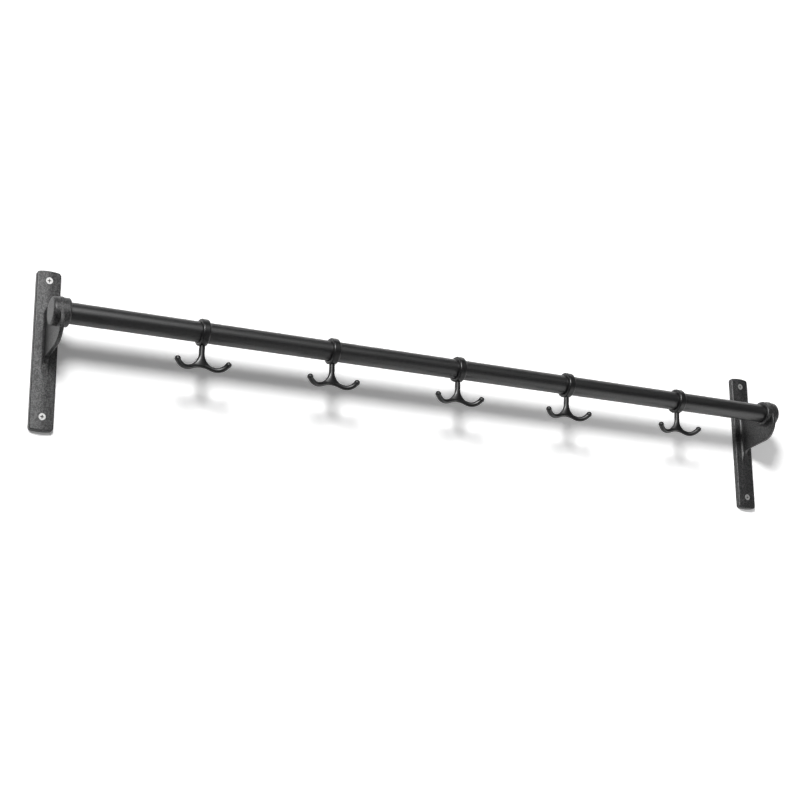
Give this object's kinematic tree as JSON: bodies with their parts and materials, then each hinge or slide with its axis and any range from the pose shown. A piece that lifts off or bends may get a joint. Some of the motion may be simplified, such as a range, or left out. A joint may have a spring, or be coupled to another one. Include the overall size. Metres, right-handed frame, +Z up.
{
  "type": "hook rail",
  "caption": "Wall-mounted hook rail: a round tube between two cast end brackets, with double coat hooks that slide along it on rings.",
  "frame": {"origin": "on the wall's surface, at the centre of the rectangle of the four wall screws", "axes": "+X to the right along the rail, +Y into the wall along the screws, +Z up"},
  "size_m": [1.059, 0.1099, 0.194],
  "materials": {
    "casting_black": "textured black powder coat on cast iron",
    "tube_black": "satin black powder coat on steel tube",
    "hook_black": "smooth semi-gloss black",
    "screw_steel": "bright zinc plate"
  },
  "bodies": {
    "rail": {"bracket_left": "casting_black", "bracket_right": "casting_black", "rail_tube": "tube_black", "wall_screws": "screw_steel"},
    "hook_1": {"hook_1": "hook_black"},
    "hook_2": {"hook_2": "hook_black"},
    "hook_3": {"hook_3": "hook_black"},
    "hook_4": {"hook_4": "hook_black"},
    "hook_5": {"hook_5": "hook_black"}
  },
  "joints": [
    {"name": "hook_1_slide", "type": "slide", "parent": "rail", "child": "hook_1", "axis": [1, 0, 0], "range_m": [-0.1315, 0.04865]},
    {"name": "hook_2_slide", "type": "slide", "parent": "rail", "child": "hook_2", "axis": [1, 0, 0], "range_m": [-0.04865, 0.05275]},
    {"name": "hook_3_slide", "type": "slide", "parent": "rail", "child": "hook_3", "axis": [1, 0, 0], "range_m": [-0.05275, 0.0468]},
    {"name": "hook_4_slide", "type": "slide", "parent": "rail", "child": "hook_4", "axis": [1, 0, 0], "range_m": [-0.0468, 0.0547]},
    {"name": "hook_5_slide", "type": "slide", "parent": "rail", "child": "hook_5", "axis": [1, 0, 0], "range_m": [-0.0547, 0.1167]}
  ]
}
